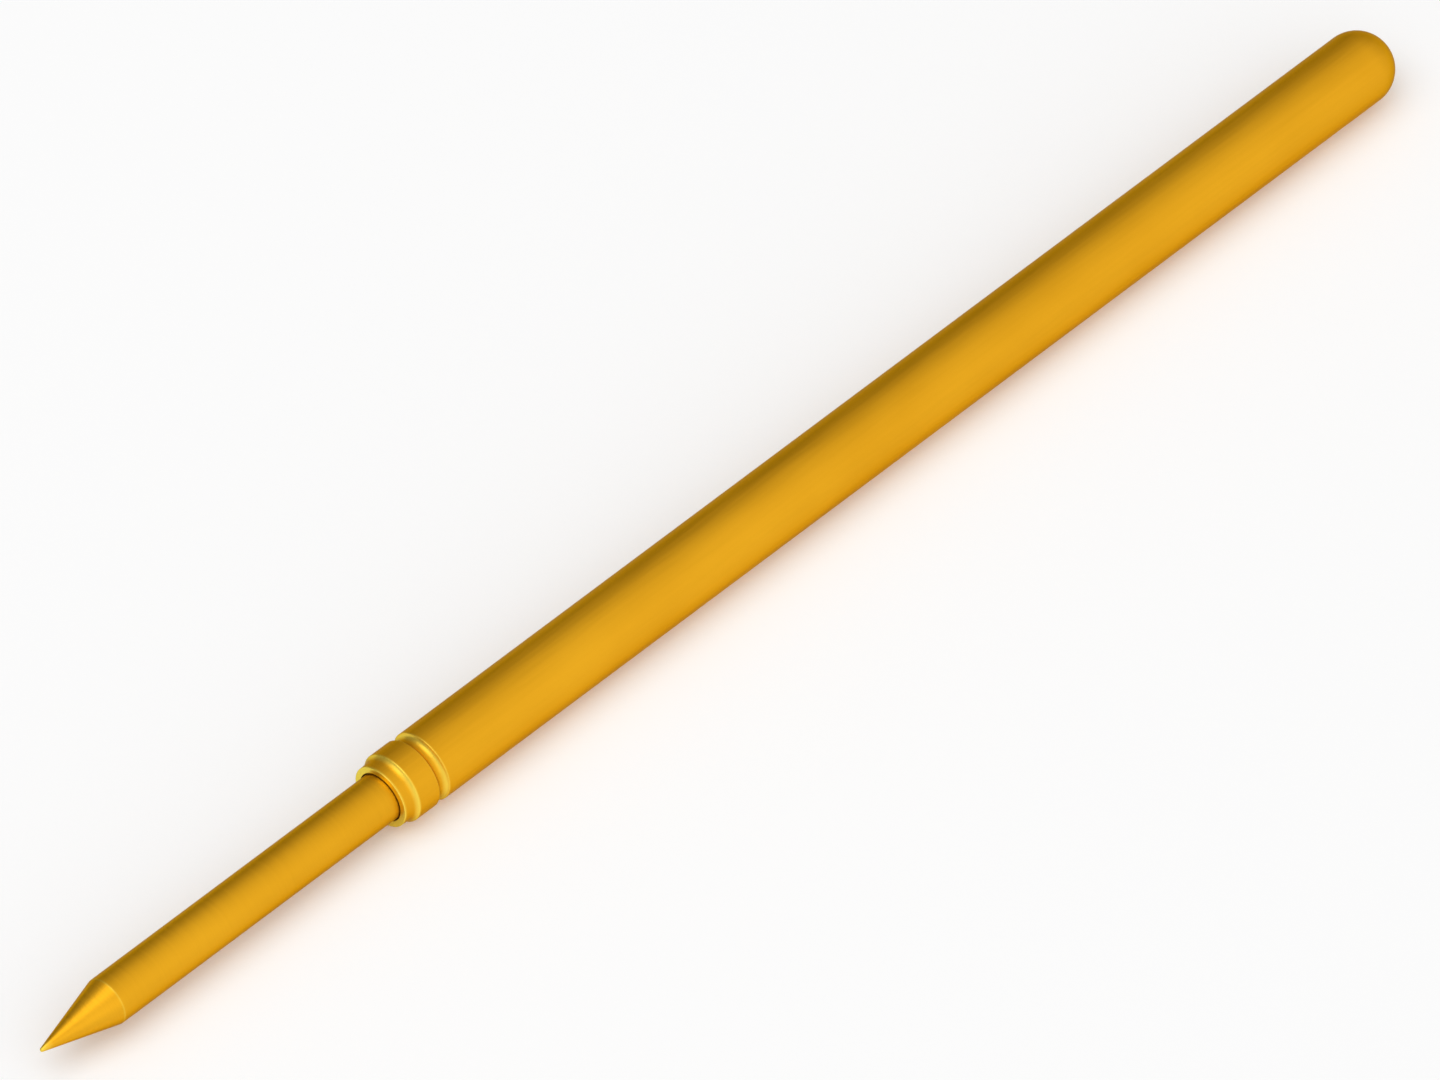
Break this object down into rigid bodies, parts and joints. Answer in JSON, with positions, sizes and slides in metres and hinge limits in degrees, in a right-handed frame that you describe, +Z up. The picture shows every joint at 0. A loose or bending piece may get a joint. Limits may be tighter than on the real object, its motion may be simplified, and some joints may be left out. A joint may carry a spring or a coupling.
{
  "type": "spring contact pin",
  "caption": "Gold-plated spring contact pin: a slim drawn barrel with a round closed end and a rolled groove, and a sprung plunger with a conical point.",
  "frame": {"origin": "on the pin's axis, where the plain barrel begins behind the rolled groove", "axes": "+X along the pin, from the point towards the closed round end; +Z up with the pin level"},
  "size_m": [0.0333, 0.0014, 0.0014],
  "materials": {
    "barrel_gold": "satin",
    "plunger_gold": "satin",
    "spring_wire": "satin"
  },
  "bodies": {
    "barrel": {"barrel": "barrel_gold", "spring": "spring_wire"},
    "plunger": {"plunger": "plunger_gold"}
  },
  "joints": [
    {"name": "plunger_slide", "type": "slide", "parent": "barrel", "child": "plunger", "axis": [1, 0, 0], "range_m": [0, 0.00635], "stiffness_N_per_m": 345, "deforming": ["spring"]}
  ]
}
